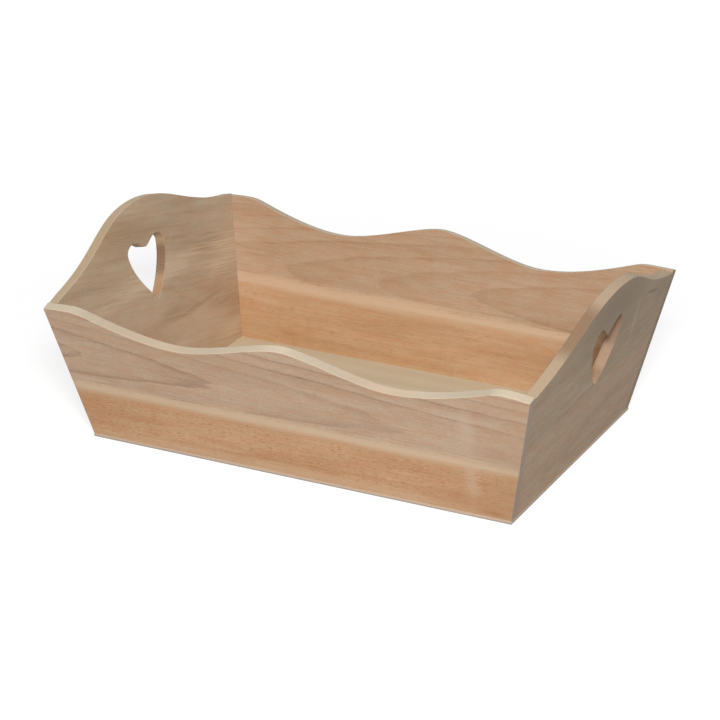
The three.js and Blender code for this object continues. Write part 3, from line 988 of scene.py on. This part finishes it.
# %% [markdown]
# Now the staves come out of the tree. The upper ones get a rim, and on the end walls a heart too. The lower
# ones are plain blanks whose foot is cut level, because the wall leans and the base panel under it doesn't.
# A bevel rounds the marked arrises. Each finished stave is measured against the box of the node that it
# dresses.

# %% Make the staves
ARRIS = 0.55
ARRIS_STEPS = 3
OUTLINE_STEPS = 24


def off_by(mesh, node):
    """The largest distance in millimetres between the sides of a mesh's box and a node's box."""
    low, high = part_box(node)
    worst = 0
    for axis in range(3):
        places = [vertex.co[axis] for vertex in mesh.vertices]
        worst = max(worst, abs(min(places) - low[axis]), abs(max(places) - high[axis]))
    return round(worst / MM, 2)


staves = {}
for wall_name, wall in WALLS.items():
    outlines = [rims[wall_name]]
    if wall_name in HEARTS:
        outlines.append(heart_outline(HEARTS[wall_name]))
    joint = wall["joint"]
    spans = {"lower": (HAIRLINE, joint - HAIRLINE / 2), "upper": (joint + HAIRLINE / 2, crest + OVERRUN)}
    for level, (low, high) in spans.items():
        label = f"{wall_name}_{level}"
        stave = grown(label + "_board", drawn(label + "_outline", outlines, OUTLINE_STEPS), stave_tree, {
            "Half Length": wall["run"] * MM,
            "Flare": math.cos(wall["lean"]) * math.tan(wall["neighbour"]),
            "Slant": -math.sin(wall["lean"]) * math.tan(wall["neighbour"]),
            "Thickness": WALL * MM,
            "From": low * MM,
            "To": high * MM,
            "Foot Slope": math.tan(wall["lean"]) if level == "lower" else 0.0,
            "Overrun": OVERRUN * MM,
            "Shaped": level == "upper",
            "Through": wall["through"],
            "Lean": wall["lean"],
            "Turn": wall["turn"],
            "Reach": wall["reach"] * MM,
            "Base": BASE_THICKNESS * MM,
            "Wood": wood[label],
        })
        mesh = finished(stave, ARRIS, ARRIS_STEPS, limit="WEIGHT", clamped=False)
        staves[label] = stave
        print(stave.name, len(mesh.polygons), "faces, box off by", off_by(mesh, label + "_stave"), "mm")

# %% [markdown]
# The nails repeat, so one small tree makes them all. A nail is a circle carried along a short line: wide
# for the head, narrow for the shank, and almost nothing at the point. Each source point stands at a nail's
# head and remembers which way the nail was driven.

# %% The nail tree
NAIL_SIDES = 20
UNDER_HEAD = 0.02
POINT_RADIUS = 0.05
nail_tree, taken = new_tree("Driven nails", {
    "Head": "Float", "Shank": "Float", "Head Height": "Float", "Point": "Float", "Length": "Float",
    "Steel": "Material",
})
neck = add(nail_tree, "ShaderNodeMath", {0: taken["Head Height"], 1: UNDER_HEAD * MM}, operation="ADD")
taper = add(nail_tree, "ShaderNodeMath", {0: taken["Length"], 1: taken["Point"]}, operation="SUBTRACT")
half_head = add(nail_tree, "ShaderNodeMath", {0: taken["Head"], 1: 0.5}, operation="MULTIPLY").outputs[0]
half_shank = add(nail_tree, "ShaderNodeMath", {0: taken["Shank"], 1: 0.5}, operation="MULTIPLY").outputs[0]
stations = [0.0, taken["Head Height"], neck.outputs[0], taper.outputs[0], taken["Length"]]
radii = [half_head, half_head, half_shank, half_shank, POINT_RADIUS * MM]
index = add(nail_tree, "GeometryNodeInputIndex")
switches = []
for values in (stations, radii):
    switch = add(nail_tree, "GeometryNodeIndexSwitch", {"Index": index}, data_type="FLOAT")
    while len(switch.index_switch_items) < len(values):
        switch.index_switch_items.new()
    for i, value in enumerate(values, 1):
        if isinstance(value, float):
            switch.inputs[i].default_value = value
        else:
            nail_tree.links.new(value, switch.inputs[i])
    switches.append(switch)

line = add(nail_tree, "GeometryNodeCurvePrimitiveLine", {"End": (0, 0, 1)})
line = add(nail_tree, "GeometryNodeResampleCurve", {"Curve": line, "Count": len(stations)})
on_axis = add(nail_tree, "ShaderNodeCombineXYZ", {2: switches[0]})
line = add(nail_tree, "GeometryNodeSetPosition", {"Geometry": line, "Position": on_axis})
circle = add(nail_tree, "GeometryNodeCurvePrimitiveCircle", {"Resolution": NAIL_SIDES, "Radius": 1.0})
nail = add(nail_tree, "GeometryNodeCurveToMesh",
           {"Curve": line, "Profile Curve": circle, "Scale": switches[1], "Fill Caps": True})
drive = add(nail_tree, "GeometryNodeInputNamedAttribute", {"Name": "drive"}, data_type="FLOAT_VECTOR")
aim = add(nail_tree, "FunctionNodeAlignRotationToVector", {"Vector": drive}, axis="Z")
nails = add(nail_tree, "GeometryNodeInstanceOnPoints",
            {"Points": taken["Geometry"], "Instance": nail, "Rotation": aim})
nails = add(nail_tree, "GeometryNodeRealizeInstances", {0: nails})
nails = add(nail_tree, "GeometryNodeSetMaterial", {"Geometry": nails, "Material": taken["Steel"]})
add(nail_tree, "NodeGroupOutput", {0: nails})
print("nail tree:", len(nail_tree.nodes), "nodes")

# %% [markdown]
# Pins hold the base panel and go straight up into the walls. Brads hold the corners: they go through a long
# wall into the end of the wall behind it, and their holes are filled and sanded over. The places, lengths and
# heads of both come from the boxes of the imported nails.

# %% Drive the nails
UP = Vector((0, 0, 1))
BRAD_WAYS = {"front": Vector((0, 1, 0)), "back": Vector((0, -1, 0))}
WIRE = 1.4
PIN_HEAD_HEIGHT = 0.6
BRAD_HEAD_HEIGHT = 0.8
NAIL_POINT = 2


def heads(ways):
    """A mesh of points at the nails' heads, each with the direction that its nail was driven in."""
    places = []
    for node, way in ways.items():
        low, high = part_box(node)
        places.append((low + high) / 2 - (high - low) / 2 * way)
    mesh = bpy.data.meshes.new("nail heads")
    mesh.from_pydata(places, [], [])
    attribute = mesh.attributes.new("drive", "FLOAT_VECTOR", "POINT")
    for entry, way in zip(attribute.data, ways.values()):
        entry.vector = way
    return placed("nail heads", mesh)


pin_nodes = sorted(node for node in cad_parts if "_base_pin_" in node)
brad_nodes = sorted(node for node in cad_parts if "_brad_" in node)
pin_ways = {node: UP for node in pin_nodes}
brad_ways = {node: BRAD_WAYS[node.split("_")[0]] for node in brad_nodes}
pin_low, pin_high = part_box(pin_nodes[0])
brad_low, brad_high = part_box(brad_nodes[0])
nail_sizes = {"Shank": WIRE * MM, "Point": NAIL_POINT * MM, "Steel": steel}
base_pins = grown("base_pins", heads(pin_ways), nail_tree, {
    "Head": pin_high.x - pin_low.x,
    "Head Height": PIN_HEAD_HEIGHT * MM,
    "Length": pin_high.z - pin_low.z,
    **nail_sizes,
})
corner_brads = grown("corner_brads", heads(brad_ways), nail_tree, {
    "Head": brad_high.z - brad_low.z,
    "Head Height": BRAD_HEAD_HEIGHT * MM,
    "Length": brad_high.y - brad_low.y,
    **nail_sizes,
})
for piece in (base_pins, corner_brads):
    smoothed(piece.data)
print("nails:", len(pin_nodes), "pins and", len(brad_nodes), "brads")

# %% [markdown]
# The pins go up through the base panel, and their heads are set a little under its surface. So the panel
# is a sheet with a shallow recess round each head. The recesses repeat at the same points as the pins, and
# the tree takes them out of the sheet in one cut.

# %% The base panel
PANEL_ARRIS = 0.5
PANEL_ARRIS_STEPS = 2
RECESS_CLEARANCE = 0.15
RECESS_DEPTH = 1.2
panel_tree, taken = new_tree("Pinned panel", {
    "Size": "Vector", "Recess Radius": "Float", "Recess Depth": "Float", "Wood": "Material",
})
sheet = add(panel_tree, "GeometryNodeMeshCube", {"Size": taken["Size"]})
thickness = add(panel_tree, "ShaderNodeSeparateXYZ", {0: taken["Size"]}).outputs[2]
lift = add(panel_tree, "ShaderNodeMath", {0: thickness, 1: 0.5}, operation="MULTIPLY")
lift = add(panel_tree, "ShaderNodeCombineXYZ", {2: lift})
sheet = add(panel_tree, "GeometryNodeTransform", {"Geometry": sheet, "Translation": lift})
tall = add(panel_tree, "ShaderNodeMath", {0: taken["Recess Depth"], 1: 2.0}, operation="MULTIPLY")
plug = add(panel_tree, "GeometryNodeMeshCylinder",
           {"Vertices": NAIL_SIDES, "Radius": taken["Recess Radius"], "Depth": tall})
spots = add(panel_tree, "ShaderNodeSeparateXYZ", {0: add(panel_tree, "GeometryNodeInputPosition")}).outputs
on_face = add(panel_tree, "ShaderNodeCombineXYZ", {0: spots[0], 1: spots[1]})
places = add(panel_tree, "GeometryNodeSetPosition", {"Geometry": taken["Geometry"], "Position": on_face})
plugs = add(panel_tree, "GeometryNodeInstanceOnPoints", {"Points": places, "Instance": plug})
plugs = add(panel_tree, "GeometryNodeRealizeInstances", {0: plugs})
recessed = add(panel_tree, "GeometryNodeMeshBoolean", {"Mesh 1": sheet, "Mesh 2": plugs},
               operation="DIFFERENCE", solver="EXACT")
recessed = add(panel_tree, "GeometryNodeRealizeInstances", {0: recessed})
recessed = add(panel_tree, "GeometryNodeSetMaterial", {"Geometry": recessed, "Material": taken["Wood"]})
add(panel_tree, "NodeGroupOutput", {0: recessed})

base_sheet = grown("base_sheet", heads(pin_ways), panel_tree, {
    "Size": (panel_high - panel_low)[:],
    "Recess Radius": (pin_high.x - pin_low.x) / 2 + RECESS_CLEARANCE * MM,
    "Recess Depth": RECESS_DEPTH * MM,
    "Wood": plywood,
})
mesh = finished(base_sheet, PANEL_ARRIS, PANEL_ARRIS_STEPS, limit="ANGLE", clamped=True)
print("base sheet:", len(mesh.polygons), "faces, box off by", off_by(mesh, "base_panel"), "mm")

# %% [markdown]
# The tray stands on a plain pale table in a white room. To the camera, and in reflections, both are white,
# and the table still takes the tray's soft shadow. To other rays it is a pale grey that sends light back up.
# The lamp's light falls off over the table, so the white is helped by a glow that grows with the distance.

# %% The table
FLOOR_SIZE = 12_000
TABLE_TONE = "#c4c4c4"
SEEN_TABLE_TONE = "#9f9f9f"
NEAR_GLOW = 0.79
NEAR = 350
FAR = 1000

half = FLOOR_SIZE * MM / 2
corners = [(-half, -half, 0), (half, -half, 0), (half, half, 0), (-half, half, 0)]
floor_mesh = bpy.data.meshes.new("floor")
floor_mesh.from_pydata(corners, [], [(0, 1, 2, 3)])
floor = placed("floor", floor_mesh)


def seen_rays(tree):
    """1 for a ray that ends in the picture: from the camera, from a gloss, or through glass."""
    rays = add(tree, "ShaderNodeLightPath").outputs
    seen = rays["Is Camera Ray"]
    for kind in ("Is Glossy Ray", "Is Transmission Ray"):
        seen = add(tree, "ShaderNodeMath", {0: seen, 1: rays[kind]}, operation="MAXIMUM")
    return seen


paint, tree = new_material("matt white table")
pale = add(tree, "ShaderNodeBsdfDiffuse", {"Color": TABLE_TONE})
faint = add(tree, "ShaderNodeBsdfDiffuse", {"Color": SEEN_TABLE_TONE})
place = add(tree, "ShaderNodeTexCoord").outputs["Object"]
from_tray = add(tree, "ShaderNodeVectorMath", {0: place}, operation="LENGTH").outputs["Value"]
level = add(tree, "ShaderNodeMapRange",
            {"Value": from_tray, "From Min": NEAR * MM, "From Max": FAR * MM, "To Min": NEAR_GLOW},
            interpolation_type="SMOOTHSTEP")
glow = add(tree, "ShaderNodeEmission", {"Color": (1, 1, 1, 1), "Strength": level})
lit = add(tree, "ShaderNodeAddShader", {0: faint, 1: glow})
table = add(tree, "ShaderNodeMixShader", {0: seen_rays(tree), 1: pale, 2: lit})
add(tree, "ShaderNodeOutputMaterial", {0: table})
floor_mesh.materials.append(paint)
print("table material:", paint.name)

# %% [markdown]
# The room is the world's background. It fills the shadows with a low even light, and looks white by the same
# rule as the table.

# %% The room
ROOM_LEVEL = 0.27

world = bpy.data.worlds.new("white room")
scene.world = world
world.use_nodes = True
tree = world.node_tree
tree.nodes.clear()
level = add(tree, "ShaderNodeMapRange", {"Value": seen_rays(tree), "To Min": ROOM_LEVEL})
room = add(tree, "ShaderNodeBackground", {"Color": (1, 1, 1, 1), "Strength": level})
add(tree, "ShaderNodeOutputWorld", {0: room})
print("the room's own light:", ROOM_LEVEL)

# %% [markdown]
# The light is a softbox just above the camera, as a lamp on its stand would be. So the inside faces that
# turn to the camera are the brightest, the right end lies in half shade, and no shadow shows on the inside
# of the tray. Only through the right heart the eye meets the shadow that the right wall throws on the back
# wall, and a painted shadow on the back wall's wood deepens it there.

# %% Light
LAMP_AZIMUTH = math.radians(27)
LAMP_ELEVATION = math.radians(33)
LAMP_DISTANCE = 2400
LAMP_SIZE = 400
LAMP_POWER = 45.5

lamp = bpy.data.lights.new("softbox", "AREA")
lamp.size = LAMP_SIZE * MM
lamp.energy = LAMP_POWER
light = placed("softbox", lamp)
toward = direction(LAMP_AZIMUTH, LAMP_ELEVATION)
light.location = toward * (LAMP_DISTANCE * MM)
light.rotation_mode = "QUATERNION"
light.rotation_quaternion = (-toward).to_track_quat("-Z", "Y")
scene.view_settings.view_transform = "Standard"
print("softbox hangs", round(light.location.z, 2), "m above the table")

# %% [markdown]
# Every new piece rides on the tray's one rigid body and stands for the imported nodes that it dresses,
# which are hidden.

# %% Join the pieces to the frame
SLOTS = {"upper": "wall_upper", "lower": "wall_lower"}
dressings = [(stave, [label + "_stave"], SLOTS[label.split("_")[1]]) for label, stave in staves.items()]
dressings.append((base_pins, pin_nodes, "nail"))
dressings.append((corner_brads, brad_nodes, "nail"))
dressings.append((base_sheet, ["base_panel"], "base"))
for piece, nodes, slot in dressings:
    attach(piece, "root")
    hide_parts(*nodes)
print("pieces:", len(dressings), "for", sum(len(nodes) for piece, nodes, slot in dressings), "nodes")
